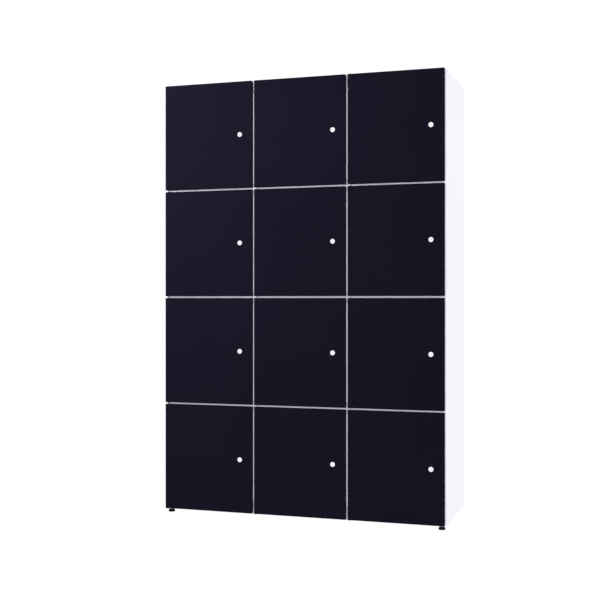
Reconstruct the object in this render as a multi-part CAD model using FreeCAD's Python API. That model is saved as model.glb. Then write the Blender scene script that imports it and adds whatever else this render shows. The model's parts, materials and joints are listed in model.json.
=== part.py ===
import FreeCAD, Part
import math
import os

# Locker cabinet: three columns of four lockable doors on a carcass of melamine-faced board.
# Millimetres. +X is to the right of a person who faces the doors, +Y goes back, +Z goes up.
# The origin is the middle of the footprint, on the floor. Columns are a, b, c from the left
# and rows are 1 to 4 from the top, so door_b3 is the third door down in the middle column.

# ---- Whole cabinet -------------------------------------------------------------------------
column_names = "abc"
row_count = 4
cabinet_width = 1200.0
cabinet_depth = 480.0            # door fronts to the back of the carcass
row_pitch = 449.5
board = 18.0                     # carcass boards
board_arris = 0.5                # rounding of a board's edge band
foot_height = 15.0               # floor to the underside of the carcass

# ---- Back panel ----------------------------------------------------------------------------
back_board = 8.0
back_rebate = 9.0                # how far the panel sits into the sides, top and base
wall_hole_radius = 3.0
wall_hole_x = 400.0              # each side of the middle
wall_hole_drop = 60.0            # below the top of the carcass

# ---- Doors ---------------------------------------------------------------------------------
door_board = 16.0
door_arris = 0.8
door_standoff = 3.0              # back of a closed door to the front of the carcass
column_gap = 10.0
row_gap = 7.5

# ---- Pivot hinges --------------------------------------------------------------------------
pin_inset = 6.0                  # pin axis in from the door's left edge
pin_setback = 10.0               # pin axis behind the door's front
pin_radius = 2.5
pin_in_door = 8.0
bush_radius = 4.5
bush_length = 10.0
running_clearance = 0.05
tongue_thickness = 2.5
tongue_radius = 5.0              # round eye at the pin
tongue_edge_inset = 1.0          # tongue's root in from the plate's edge
tongue_waist = (4.0, 3.0)        # slanted side meets the eye this far left and in front of the pin
bush_end_play = 0.6              # hole depth beyond the pin's end
plate_width = 14.0
plate_thickness = 2.0
middle_plate_height = 50.0
end_plate_height = 56.0
middle_screw_offset = 17.0       # above and below a middle bracket's tongue
end_screw_heights = (28.0, 46.0)  # from the outer face of the top or base

# ---- Locks ---------------------------------------------------------------------------------
lock_inset = 52.0                # lock axis in from the door's right edge, at mid-height
flange_radius = 10.0
flange_proud = 3.0
flange_bevel = 0.8
barrel_radius = 8.0
barrel_end = 22.0                # behind the door's front
nut_across_flats = 19.0
nut_thickness = 4.0
plug_radius = 5.5
plug_recess = 0.4                # plug face behind the flange's face
tenon_side = 7.0
key_slot_height = 1.0
key_slot_width = 5.6
key_slot_depth = 12.0
cam_gap = 0.3                    # barrel end to the cam
cam_thickness = 2.4
cam_half_width = 7.0
cam_hub_radius = 8.0
cam_reach = 34.0                 # lock axis to the cam's tip
cam_screw_head_radius = 5.0
cam_screw_head_height = 3.0
cam_screw_radius = 2.0
cam_screw_length = 9.0

# ---- Keepers for the cams ------------------------------------------------------------------
keeper_sheet = 2.0
keeper_height = 40.0
keeper_depth = 16.0
keeper_gap_to_axis = 24.0        # lock axis to the edge of the keeper's lip
keeper_clear_of_cam = 0.7
keeper_screw_offset = 13.0       # above and below the lock axis
keeper_screw_setback = 10.0      # behind the front of the lip

# ---- Small fittings ------------------------------------------------------------------------
buffer_radius = 2.5
buffer_height = 2.7
buffer_side_inset = 20.0         # in from the door's right edge
buffer_end_inset = 2.65          # in from the door's top or bottom edge
screw_head_radius = 3.4
screw_head_height = 2.0
screw_shank_radius = 1.75
bracket_screw_length = 22.0
keeper_screw_length = 12.0
connector_disc_radius = 7.5
connector_disc_height = 12.5
connector_disc_inset = 24.0      # disc centre in from the board's end
connector_bolt_radius = 3.5
connector_neck_side = 4.4         # square neck of the bolt, where the disc grips it
connector_neck_in_disc = 5.0
connector_neck_free = 2.5        # neck between the disc and the round shank
connector_bolt_reach = 8.5       # how far the bolt goes into the other board
connector_front_inset = 60.0
connector_back_inset = 60.0

# ---- Levelling feet ------------------------------------------------------------------------
front_foot_side_inset = 19.5     # foot axis in from the cabinet's side
front_foot_inset = 14.0          # foot axis behind the front of the carcass
rear_foot_side_inset = 50.0
rear_foot_inset = 60.0           # foot axis in front of the back of the carcass
foot_pad_radius = 13.5
foot_pad_chamfer = 0.6
foot_pad_edge = 5.5              # top of the pad's upright rim
foot_shoulder_height = 11.0      # top of the dome
foot_dome_middle = (12.0, 8.75)  # radius and height of the dome's fullest point
foot_dome_top_radius = 8.5
foot_hex_across_flats = 14.0     # hexagon for a spanner, between the pad and the thread
foot_top_gap = 0.3               # hexagon to the carcass, screwed fully in
stem_radius = 4.0
stem_in_board = 15.0
insert_radius = 6.0
insert_length = 16.0

# ---- Building allowances -------------------------------------------------------------------
overrun = 1.0                    # a fused stub runs into its neighbour by this much

# ---- Places worked out from the sizes above ------------------------------------------------
column_pitch = cabinet_width / len(column_names)
carcass_height = row_pitch * row_count
carcass_bottom = foot_height
carcass_top = carcass_bottom + carcass_height
inner_bottom = carcass_bottom + board
inner_top = carcass_top - board
door_width = column_pitch - column_gap
door_height = row_pitch - row_gap

overall_depth = cabinet_depth + flange_proud
door_front = -overall_depth / 2 + flange_proud
door_back = door_front + door_board
carcass_front = door_back + door_standoff
carcass_back = door_front + cabinet_depth
inner_back = carcass_back - back_board
side_face = cabinet_width / 2
pin_axis_y = door_front + pin_setback
cam_front = door_front + barrel_end + cam_gap
cam_back = cam_front + cam_thickness

RIGHT = FreeCAD.Vector(1, 0, 0)
LEFT = FreeCAD.Vector(-1, 0, 0)
BACK = FreeCAD.Vector(0, 1, 0)
UP = FreeCAD.Vector(0, 0, 1)
DOWN = FreeCAD.Vector(0, 0, -1)


# ---- Building blocks -----------------------------------------------------------------------
def block(x0, x1, y0, y1, z0, z1):
    """A box between two corners."""
    return Part.makeBox(x1 - x0, y1 - y0, z1 - z0, FreeCAD.Vector(x0, y0, z0))


def rounded_board(x0, x1, y0, y1, z0, z1, arris=board_arris):
    """A board whose edges all have the edge band's small rounding."""
    plain = block(x0, x1, y0, y1, z0, z1)
    return plain.makeFillet(arris, plain.Edges)


def rod(radius, start, direction, length):
    """A cylinder from a start point along a direction."""
    return Part.makeCylinder(radius, length, FreeCAD.Vector(*start), direction)


def sleeve(outer, inner, start, direction, length):
    """A tube from a start point along a direction."""
    return rod(outer, start, direction, length).cut(rod(inner, start, direction, length))


def prism(points, z0, height):
    """A vertical prism over a list of (x, y) corners."""
    corners = [FreeCAD.Vector(x, y, z0) for x, y in points]
    outline = Part.makePolygon(corners + corners[:1])
    return Part.Face(outline).extrude(UP * height)


def countersunk_screw(start, direction, length):
    """A screw whose flat head is flush with the start point."""
    start = FreeCAD.Vector(*start)
    head = Part.makeCone(screw_head_radius, screw_shank_radius, screw_head_height, start, direction)
    shank = Part.makeCylinder(screw_shank_radius, length, start, direction)
    return head.fuse(shank).removeSplitter()


def cut_away(shape, tools):
    """The shape less those of the tools that reach into its box."""
    close = [tool for tool in tools if tool.BoundBox.intersect(shape.BoundBox)]
    return shape.cut(close) if close else shape


def export(name, solids):
    """Write one node, as one solid or as a group of separate solids."""
    shape = solids[0] if len(solids) == 1 else Part.makeCompound(solids)
    shape.exportStep(os.path.join("parts", name + ".step"))


# ---- Where things repeat -------------------------------------------------------------------
def door_left(column):
    return -side_face + column * column_pitch + column_gap / 2


def door_bottom(row):
    return carcass_top - (row + 1) * row_pitch + row_gap / 2


def lock_axis(column, row):
    return door_left(column) + door_width - lock_inset, door_bottom(row) + door_height / 2


def column_line(line):
    """X of the middle of an upright board: 0 is the left side, 3 the right side."""
    if line == 0:
        return -side_face + board / 2
    if line == len(column_names):
        return side_face - board / 2
    return -side_face + line * column_pitch


def row_line(line):
    """Height of the line between two rows, counted down from the top of the carcass."""
    return carcass_top - line * row_pitch


def every_door():
    for column, letter in enumerate(column_names):
        for row in range(row_count):
            yield column, row, "door_%s%d" % (letter, row + 1)


# ---- Pivot hinges: brackets let into the front edges of the upright boards -------------------
def pivot_bracket(plate_x, axis_x, tongue_z, plate_z, plate_height, pin_z, pin_length, screw_heights):
    """A plate let into the board's edge, with a tongue in the door gap that holds the pin."""
    plate = block(plate_x - plate_width / 2, plate_x + plate_width / 2,
                  carcass_front, carcass_front + plate_thickness, plate_z, plate_z + plate_height)
    screws = []
    for height in screw_heights:
        screws.append(countersunk_screw((plate_x, carcass_front, height), BACK, bracket_screw_length))
    outline = [(plate_x - plate_width / 2 + tongue_edge_inset, carcass_front),
               (axis_x - tongue_waist[0], pin_axis_y - tongue_waist[1]),
               (axis_x + tongue_radius, pin_axis_y),
               (axis_x + tongue_radius, carcass_front)]
    tongue = prism(outline, tongue_z, tongue_thickness)
    eye = rod(tongue_radius, (axis_x, pin_axis_y, tongue_z), UP, tongue_thickness)
    pin = rod(pin_radius, (axis_x, pin_axis_y, pin_z), UP, pin_length)
    bracket = plate.cut(screws).fuse([tongue, eye, pin]).removeSplitter()
    return bracket, plate, screws


def make_pivot_brackets():
    """Brackets on every hinge line: one at the top, one at the base, one between each two rows."""
    brackets = []
    seats = []
    screws = []
    for column in range(len(column_names)):
        plate_x = column_line(column)
        axis_x = door_left(column) + pin_inset
        for line in range(row_count + 1):
            height = row_line(line)
            if line == 0:
                tongue_z = height - tongue_thickness
                pin_length = row_gap / 2 + pin_in_door
                made = pivot_bracket(plate_x, axis_x, tongue_z, height - end_plate_height,
                                     end_plate_height, height - pin_length, pin_length,
                                     [height - drop for drop in end_screw_heights])
            elif line == row_count:
                pin_length = row_gap / 2 + pin_in_door
                made = pivot_bracket(plate_x, axis_x, height, height, end_plate_height,
                                     height, pin_length, [height + rise for rise in end_screw_heights])
            else:
                pin_reach = row_gap / 2 + pin_in_door
                made = pivot_bracket(plate_x, axis_x, height - tongue_thickness / 2,
                                     height - middle_plate_height / 2, middle_plate_height,
                                     height - pin_reach, 2 * pin_reach,
                                     [height - middle_screw_offset, height + middle_screw_offset])
            brackets.append(made[0])
            seats.append(made[1])
            screws += made[2]
    return brackets, seats, screws


# ---- Keepers: angles behind the door, which the lock cams turn behind ------------------------
def make_keepers():
    keepers = []
    screws = []
    lip_back = cam_front - keeper_clear_of_cam
    lip_front = lip_back - keeper_sheet
    for column, row, name in every_door():
        lock_x, lock_z = lock_axis(column, row)
        upright_face = column_line(column + 1) - board / 2
        z0 = lock_z - keeper_height / 2
        z1 = lock_z + keeper_height / 2
        plate = block(upright_face - keeper_sheet, upright_face,
                      lip_front, lip_front + keeper_depth, z0, z1)
        lip = block(lock_x + keeper_gap_to_axis, upright_face, lip_front, lip_back, z0, z1)
        own_screws = []
        for side in (-1, 1):
            head = (upright_face - keeper_sheet, lip_front + keeper_screw_setback,
                    lock_z + side * keeper_screw_offset)
            own_screws.append(countersunk_screw(head, RIGHT, keeper_screw_length))
        keepers.append(plate.fuse(lip).removeSplitter().cut(own_screws))
        screws += own_screws
    return keepers, screws


# ---- Hidden connectors between boards: a disc in one board draws a bolt held in the other ----
def connector(end_point, outward, disc_side):
    """end_point lies on the board's end, in mid-thickness; the disc opens on disc_side."""
    end = FreeCAD.Vector(*end_point)
    centre = end - outward * connector_disc_inset
    face = centre + disc_side * (board / 2)
    disc = Part.makeCylinder(connector_disc_radius, connector_disc_height, face, disc_side * -1)
    neck_start = centre + outward * (connector_disc_radius - connector_neck_in_disc)
    shank_start = centre + outward * (connector_disc_radius + connector_neck_free)
    shank_length = connector_disc_inset - connector_disc_radius - connector_neck_free + connector_bolt_reach
    across = outward.cross(disc_side)
    half = connector_neck_side / 2
    corners = [neck_start + across * (a * half) + disc_side * (b * half)
               for a, b in ((-1, -1), (1, -1), (1, 1), (-1, 1))]
    neck_face = Part.Face(Part.makePolygon(corners + corners[:1]))
    neck = neck_face.extrude(outward * (connector_neck_in_disc + connector_neck_free))
    shank = Part.makeCylinder(connector_bolt_radius, shank_length, shank_start, outward)
    bolt = neck.fuse(shank)
    return [disc.cut(bolt), bolt]


def make_connectors():
    parts = []
    depths = (carcass_front + connector_front_inset, inner_back - connector_back_inset)
    for y in depths:
        for line in range(len(column_names) + 1):
            x = column_line(line)
            disc_side = LEFT if line == len(column_names) else RIGHT
            parts += connector((x, y, inner_top), UP, disc_side)
            parts += connector((x, y, inner_bottom), DOWN, disc_side)
        for column in range(len(column_names)):
            x0 = column_line(column) + board / 2
            x1 = column_line(column + 1) - board / 2
            for line in range(1, row_count):
                parts += connector((x0, y, row_line(line)), LEFT, DOWN)
                parts += connector((x1, y, row_line(line)), RIGHT, DOWN)
    return parts


# ---- Levelling feet --------------------------------------------------------------------------
def foot_places():
    rows = (("front", carcass_front + front_foot_inset, side_face - front_foot_side_inset),
            ("rear", carcass_back - rear_foot_inset, side_face - rear_foot_side_inset))
    for row_name, y, x in rows:
        yield "foot_%s_left" % row_name, -x, y
        yield "foot_%s_right" % row_name, x, y


def levelling_foot(x, y):
    """A domed pad, a hexagon and a threaded stem; the pad stands on the floor."""
    hex_top = foot_height - foot_top_gap
    bottom_middle = FreeCAD.Vector(0, 0, 0)
    bottom_edge = FreeCAD.Vector(foot_pad_radius - foot_pad_chamfer, 0, 0)
    rim_low = FreeCAD.Vector(foot_pad_radius, 0, foot_pad_chamfer)
    rim_high = FreeCAD.Vector(foot_pad_radius, 0, foot_pad_edge)
    dome_middle = FreeCAD.Vector(foot_dome_middle[0], 0, foot_dome_middle[1])
    dome_top = FreeCAD.Vector(foot_dome_top_radius, 0, foot_shoulder_height)
    top_middle = FreeCAD.Vector(0, 0, foot_shoulder_height)
    edges = [Part.makeLine(bottom_middle, bottom_edge),
             Part.makeLine(bottom_edge, rim_low),
             Part.makeLine(rim_low, rim_high),
             Part.Arc(rim_high, dome_middle, dome_top).toShape(),
             Part.makeLine(dome_top, top_middle),
             Part.makeLine(top_middle, bottom_middle)]
    pad = Part.Face(Part.Wire(edges)).revolve(bottom_middle, UP, 360)
    corner = foot_hex_across_flats / math.sqrt(3)
    turns = [math.radians(60 * step) for step in range(6)]
    hexagon = prism([(corner * math.cos(turn), corner * math.sin(turn)) for turn in turns],
                    foot_shoulder_height, hex_top - foot_shoulder_height)
    stem = rod(stem_radius, (0, 0, hex_top), UP, foot_top_gap + stem_in_board)
    foot = pad.fuse([hexagon, stem]).removeSplitter()
    foot.translate(FreeCAD.Vector(x, y, 0))
    return foot


def make_foot_inserts():
    """Threaded sleeves in the base board, and the bores they sit in."""
    inserts = []
    bores = []
    for name, x, y in foot_places():
        start = (x, y, carcass_bottom)
        inserts.append(sleeve(insert_radius, stem_radius + running_clearance, start, UP, insert_length))
        bores.append(rod(insert_radius, start, UP, insert_length))
    return inserts, bores


# ---- Doors and their fittings ----------------------------------------------------------------
def door_panel(column, row):
    x0 = door_left(column)
    z0 = door_bottom(row)
    lock_x, lock_z = lock_axis(column, row)
    panel = rounded_board(x0, x0 + door_width, door_front, door_back, z0, z0 + door_height, door_arris)
    lock_bore = rod(barrel_radius, (lock_x, door_front, lock_z), BACK, door_board)
    low_bore = rod(bush_radius, (x0 + pin_inset, pin_axis_y, z0), UP, bush_length)
    high_bore = rod(bush_radius, (x0 + pin_inset, pin_axis_y, z0 + door_height), DOWN, bush_length)
    return panel.cut([lock_bore, low_bore, high_bore])


def pivot_bush(x, z, direction):
    """A bush in the door's edge; its blind hole is a little deeper than the pin reaches."""
    start = (x, pin_axis_y, z)
    hole = rod(pin_radius + running_clearance, start, direction, pin_in_door + bush_end_play)
    return rod(bush_radius, start, direction, bush_length).cut(hole)


def lock_barrel(x, z):
    """A round flange on the door's front, and the barrel through the door."""
    front = door_front - flange_proud
    bevel = Part.makeCone(flange_radius - flange_bevel, flange_radius, flange_bevel,
                          FreeCAD.Vector(x, front, z), BACK)
    flange = rod(flange_radius, (x, front + flange_bevel, z), BACK, flange_proud - flange_bevel)
    barrel = rod(barrel_radius, (x, door_front, z), BACK, barrel_end)
    bore = rod(plug_radius + running_clearance, (x, front, z), BACK, flange_proud + barrel_end)
    return bevel.fuse([flange, barrel]).removeSplitter().cut(bore)


def lock_nut(x, z):
    """The hexagonal nut that holds the barrel in the door."""
    disc = rod(nut_across_flats, (x, door_back, z), BACK, nut_thickness)
    half = nut_across_flats / 2
    outside = []
    for step in range(6):
        slab = block(x + half, x + 3 * half, door_back, door_back + nut_thickness,
                     z - 3 * half, z + 3 * half)
        slab.rotate(FreeCAD.Vector(x, 0, z), BACK, 60 * step + 30)
        outside.append(slab)
    bore = rod(barrel_radius, (x, door_back, z), BACK, nut_thickness)
    return disc.cut(outside + [bore])


def door_fittings(column, row):
    axis_x = door_left(column) + pin_inset
    z0 = door_bottom(row)
    lock_x, lock_z = lock_axis(column, row)
    return [lock_barrel(lock_x, lock_z), lock_nut(lock_x, lock_z),
            pivot_bush(axis_x, z0, UP), pivot_bush(axis_x, z0 + door_height, DOWN)]


# ---- The part of a lock that turns -----------------------------------------------------------
def lock_plug(x, z):
    """The key plug, with a square tenon behind that drives the cam."""
    face = door_front - flange_proud + plug_recess
    body = rod(plug_radius, (x, face, z), BACK, cam_front - face)
    half = tenon_side / 2
    tenon = block(x - half, x + half, cam_front - overrun, cam_back, z - half, z + half)
    slot = block(x - key_slot_width / 2, x + key_slot_width / 2, face, face + key_slot_depth,
                 z - key_slot_height / 2, z + key_slot_height / 2)
    screw_hole = rod(cam_screw_radius, (x, cam_back - cam_screw_length, z), BACK, cam_screw_length)
    return body.fuse(tenon).cut([slot, screw_hole])


def lock_cam(x, z):
    """A flat tongue that hangs down while the lock is open."""
    tip_centre = z - cam_reach + cam_half_width
    hub = rod(cam_hub_radius, (x, cam_front, z), BACK, cam_thickness)
    tongue = block(x - cam_half_width, x + cam_half_width, cam_front, cam_back, tip_centre, z)
    tip = rod(cam_half_width, (x, cam_front, tip_centre), BACK, cam_thickness)
    half = tenon_side / 2
    hole = block(x - half, x + half, cam_front, cam_back, z - half, z + half)
    return hub.fuse([tongue, tip]).removeSplitter().cut(hole)


def cam_screw(x, z):
    """The screw that holds the cam on the tenon."""
    head = rod(cam_screw_head_radius, (x, cam_back, z), BACK, cam_screw_head_height)
    shank = rod(cam_screw_radius, (x, cam_back - cam_screw_length, z), BACK, cam_screw_length)
    return head.fuse(shank).removeSplitter()


def turning_lock_parts(column, row):
    x, z = lock_axis(column, row)
    return [lock_plug(x, z), lock_cam(x, z), cam_screw(x, z)]


# ---- Carcass boards --------------------------------------------------------------------------
def carcass_boards():
    """Every white board but the back, by name, before anything is cut out of it."""
    boards = {}
    boards["top_panel"] = rounded_board(-side_face, side_face, carcass_front, carcass_back,
                                        inner_top, carcass_top)
    boards["base_panel"] = rounded_board(-side_face, side_face, carcass_front, carcass_back,
                                         carcass_bottom, inner_bottom)
    upright_names = ("left_side_panel", "left_partition", "right_partition", "right_side_panel")
    for line, name in enumerate(upright_names):
        x = column_line(line)
        depth_end = carcass_back if "side" in name else inner_back
        boards[name] = rounded_board(x - board / 2, x + board / 2, carcass_front, depth_end,
                                     inner_bottom, inner_top)
    for column, letter in enumerate(column_names):
        x0 = column_line(column) + board / 2
        x1 = column_line(column + 1) - board / 2
        for line, level in enumerate(("upper", "middle", "lower"), start=1):
            z = row_line(line)
            boards["shelf_%s_%s" % (letter, level)] = rounded_board(
                x0, x1, carcass_front, inner_back, z - board / 2, z + board / 2)
    return boards


def back_panel_solid():
    return block(-side_face + back_rebate, side_face - back_rebate, inner_back, carcass_back,
                 inner_bottom - back_rebate, inner_top + back_rebate)


def wall_holes():
    z = carcass_top - wall_hole_drop
    return [rod(wall_hole_radius, (side * wall_hole_x, inner_back, z), BACK, back_board)
            for side in (-1, 1)]


# ---- Door buffers ----------------------------------------------------------------------------
def make_buffers():
    """Soft discs on the carcass, where the free corners of each door come to rest."""
    buffers = []
    for column, row, name in every_door():
        x = door_left(column) + door_width - buffer_side_inset
        low = door_bottom(row) + buffer_end_inset
        high = door_bottom(row) + door_height - buffer_end_inset
        for z in (low, high):
            buffers.append(rod(buffer_radius, (x, carcass_front - buffer_height, z), BACK, buffer_height))
    return buffers


# ---- Assembly --------------------------------------------------------------------------------
os.makedirs("parts", exist_ok=True)

brackets, bracket_seats, bracket_screws = make_pivot_brackets()
keepers, keeper_screws = make_keepers()
connectors = make_connectors()
inserts, insert_bores = make_foot_inserts()
back_panel = back_panel_solid()

export("pivot_brackets", brackets)
export("lock_keepers", keepers)
export("door_buffers", make_buffers())
export("fasteners", bracket_screws + keeper_screws + connectors + inserts)
export("back_panel", [back_panel.cut(wall_holes())])

board_cuts = bracket_seats + bracket_screws + keeper_screws + connectors + insert_bores + [back_panel]
for board_name, solid in carcass_boards().items():
    export(board_name, [cut_away(solid, board_cuts)])

for foot_name, foot_x, foot_y in foot_places():
    export(foot_name, [levelling_foot(foot_x, foot_y)])

for column, row, door_name in every_door():
    export(door_name + "_panel", [door_panel(column, row)])
    export(door_name + "_fittings", door_fittings(column, row))
    export(door_name + "_lock_cam", turning_lock_parts(column, row))
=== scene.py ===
import json
import math

import bmesh
import bpy
from mathutils import Matrix, Vector


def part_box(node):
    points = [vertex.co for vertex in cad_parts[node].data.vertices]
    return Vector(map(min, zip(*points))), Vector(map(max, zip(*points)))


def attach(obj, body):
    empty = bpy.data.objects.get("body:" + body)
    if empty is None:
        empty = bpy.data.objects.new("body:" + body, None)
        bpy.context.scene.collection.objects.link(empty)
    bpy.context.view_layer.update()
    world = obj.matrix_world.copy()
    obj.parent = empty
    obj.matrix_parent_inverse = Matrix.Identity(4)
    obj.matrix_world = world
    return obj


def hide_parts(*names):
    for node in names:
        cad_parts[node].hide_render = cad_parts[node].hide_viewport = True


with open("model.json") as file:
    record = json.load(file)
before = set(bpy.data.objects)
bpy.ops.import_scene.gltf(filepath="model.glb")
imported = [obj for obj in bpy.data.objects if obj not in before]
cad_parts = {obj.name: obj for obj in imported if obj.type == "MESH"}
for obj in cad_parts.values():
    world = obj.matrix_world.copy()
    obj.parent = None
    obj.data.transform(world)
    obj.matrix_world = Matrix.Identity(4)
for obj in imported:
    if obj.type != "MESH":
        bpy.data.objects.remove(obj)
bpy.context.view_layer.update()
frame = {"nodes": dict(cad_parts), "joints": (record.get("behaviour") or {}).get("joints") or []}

# Looks of the locker cabinet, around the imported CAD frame. Metres; +X right, +Y back, +Z up.
# Every piece's mesh holds its place in the row frame, so Object coordinates are row coordinates.

MM = 0.001

# ---- Sizes of details that the frame doesn't carry -------------------------------------------
EDGING = 1.0 * MM               # thickness of the doors' edge band
DOOR_ARRIS = 0.9 * MM
PANEL_ARRIS = 0.12 * MM         # tiny bevel where laminate meets the edge band
FLANGE_RADIUS = 10.0 * MM
FLANGE_PROUD = 3.0 * MM
FLANGE_ROUND = 1.1 * MM
BARREL_RADIUS = 8.0 * MM
BARREL_END = 22.0 * MM          # behind the door's front
THREAD_PITCH = 1.0 * MM
PLUG_RADIUS = 5.5 * MM
PLUG_RECESS = 0.4 * MM
KEYWAY_DEPTH = 9.0 * MM
KEYWAY_OUTLINE = ((-2.8, -0.5), (-1.2, -0.5), (-1.2, -0.85), (0.4, -0.85), (0.4, -0.5), (2.8, -0.5),
                  (2.8, 0.5), (-2.8, 0.5))    # millimetres across and up from the plug's axis
TENON_HALF = 3.5 * MM
NUT_ACROSS_FLATS = 19.0 * MM
NUT_THICKNESS = 4.0 * MM
CAM_GAP = 0.3 * MM
CAM_THICKNESS = 2.4 * MM
CAM_REACH = 34.0 * MM
CAM_HALF_WIDTH = 7.0 * MM
BUSH_RADIUS = 4.5 * MM
BUSH_LENGTH = 10.0 * MM
BORE_CLEARANCE = 0.05 * MM      # radial, around a pin, a plug or a stem
PIN_RADIUS = 2.5 * MM
TONGUE = 2.5 * MM
TONGUE_RADIUS = 5.0 * MM
PLATE_WIDTH = 14.0 * MM
PLATE_THICKNESS = 2.0 * MM
MIDDLE_PLATE = 50.0 * MM
END_PLATE = 56.0 * MM
MIDDLE_SCREW = 17.0 * MM
END_SCREWS = (28.0 * MM, 46.0 * MM)
PIN_IN_DOOR = 8.0 * MM
KEEPER_SHEET = 2.0 * MM
KEEPER_HEIGHT = 40.0 * MM
KEEPER_DEPTH = 16.0 * MM
KEEPER_TO_AXIS = 24.0 * MM
KEEPER_SCREW = 13.0 * MM
CAM_CLEARANCE = 0.7 * MM
SCREW_HEAD_RADIUS = 3.4 * MM
SCREW_HEAD = 2.0 * MM
SCREW_SHANK_RADIUS = 1.75 * MM
BRACKET_SCREW = 22.0 * MM
KEEPER_SCREW_LENGTH = 12.0 * MM
DISC_RADIUS = 7.5 * MM
DISC_HEIGHT = 12.5 * MM
DISC_INSET = 24.0 * MM
CONNECTOR_INSET = 60.0 * MM     # from the carcass front, and from the back panel
CONNECTOR_REACH = 8.5 * MM
BOLT_RADIUS = 3.5 * MM
BUFFER_RADIUS = 2.5 * MM
BUFFER_HEIGHT = 2.7 * MM
BUFFER_SIDE = 20.0 * MM
BUFFER_END = 2.65 * MM
INSERT_RADIUS = 6.0 * MM
INSERT_LENGTH = 16.0 * MM
FOOT_RIM = 13.5 * MM
FOOT_RIM_TOP = 5.5 * MM
FOOT_CROWN = 8.5 * MM
FOOT_CROWN_TOP = 11.0 * MM
FOOT_RIBS = 36                  # grip ribs around the rim
FOOT_RIB_DEPTH = 0.35 * MM
FOOT_HEX_LOW = 10.4 * MM
FOOT_HEX_HIGH = 14.7 * MM
FOOT_HEX_ACROSS_FLATS = 14.0 * MM
STEM_RADIUS = 4.0 * MM
STEM_TOP = 29.7 * MM

# ---- Places, from the frame ------------------------------------------------------------------
COLUMNS = "abc"
ROWS = 4
DOORS = ["door_%s%d" % (letter, row + 1) for letter in COLUMNS for row in range(ROWS)]
FEET = ("foot_front_left", "foot_front_right", "foot_rear_left", "foot_rear_right")
UPRIGHTS = ("left_side_panel", "left_partition", "right_partition", "right_side_panel")
LEVELS = ("upper", "middle", "lower")
JOINT_AT = {joint["name"]: Vector(joint["pos_m"]) for joint in frame["joints"] if "pos_m" in joint}

door_low, door_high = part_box("door_a1_panel")
door_front = door_low.y
door_back = door_high.y
side_low, side_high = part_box("left_side_panel")
carcass_front = side_low.y
board = side_high.x - side_low.x
inner_bottom = side_low.z
inner_top = side_high.z
carcass_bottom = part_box("base_panel")[0].z
carcass_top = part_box("top_panel")[1].z
inner_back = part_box("back_panel")[0].y
cam_front = door_front + BARREL_END + CAM_GAP
cam_back = cam_front + CAM_THICKNESS
row_pitch = (carcass_top - carcass_bottom) / ROWS
row_gap = row_pitch - (door_high.z - door_low.z)


def upright_middle(line):
    low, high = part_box(UPRIGHTS[line])
    return (low.x + high.x) / 2


def row_line(line):
    return carcass_top - line * row_pitch


# ---- Node building ---------------------------------------------------------------------------
class Nodes:
    """A short way to write a material's node tree."""

    def __init__(self, name):
        self.material = bpy.data.materials.new(name)
        self.material.use_nodes = True
        self.tree = self.material.node_tree
        self.shader = self.tree.nodes["Principled BSDF"]
        coordinates = self.tree.nodes.new("ShaderNodeTexCoord")
        self.place = coordinates.outputs["Object"]

    def link(self, source, target):
        if isinstance(source, (int, float)):
            target.default_value = source
        elif isinstance(source, tuple):
            target.default_value = source
        else:
            self.tree.links.new(source, target)

    def set(self, **values):
        for name, value in values.items():
            self.link(value, self.shader.inputs[name.replace("_", " ")])

    def math(self, operation, a, b=0.0, c=0.0):
        node = self.tree.nodes.new("ShaderNodeMath")
        node.operation = operation
        self.link(a, node.inputs[0])
        self.link(b, node.inputs[1])
        self.link(c, node.inputs[2])
        return node.outputs[0]

    def axis(self, vector, name):
        node = self.tree.nodes.new("ShaderNodeSeparateXYZ")
        self.link(vector, node.inputs[0])
        return node.outputs[name]

    def stretch(self, vector, scale):
        node = self.tree.nodes.new("ShaderNodeVectorMath")
        node.operation = "MULTIPLY"
        self.link(vector, node.inputs[0])
        node.inputs[1].default_value = scale
        return node.outputs[0]

    def noise(self, vector, scale, detail=2.0, roughness=0.5):
        node = self.tree.nodes.new("ShaderNodeTexNoise")
        self.link(vector, node.inputs["Vector"])
        node.inputs["Scale"].default_value = scale
        node.inputs["Detail"].default_value = detail
        node.inputs["Roughness"].default_value = roughness
        return node.outputs["Fac"]

    def cells(self, vector, scale):
        node = self.tree.nodes.new("ShaderNodeTexVoronoi")
        node.feature = "SMOOTH_F1"
        self.link(vector, node.inputs["Vector"])
        node.inputs["Scale"].default_value = scale
        return node.outputs["Distance"]

    def span(self, value, low, high, to_low=0.0, to_high=1.0):
        node = self.tree.nodes.new("ShaderNodeMapRange")
        self.link(value, node.inputs["Value"])
        node.inputs["From Min"].default_value = low
        node.inputs["From Max"].default_value = high
        node.inputs["To Min"].default_value = to_low
        node.inputs["To Max"].default_value = to_high
        return node.outputs["Result"]

    def blend(self, amount, a, b):
        node = self.tree.nodes.new("ShaderNodeMix")
        node.data_type = "RGBA"
        self.link(amount, node.inputs[0])
        self.link(a, node.inputs[6])
        self.link(b, node.inputs[7])
        return node.outputs[2]

    def bump(self, height, strength, distance):
        node = self.tree.nodes.new("ShaderNodeBump")
        node.inputs["Strength"].default_value = strength
        node.inputs["Distance"].default_value = distance
        self.link(height, node.inputs["Height"])
        return node.outputs["Normal"]

    def uv(self):
        node = self.tree.nodes.new("ShaderNodeUVMap")
        node.uv_map = "detail"
        return node.outputs["UV"]


def rgb(red, green, blue):
    return (red, green, blue, 1.0)


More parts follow.
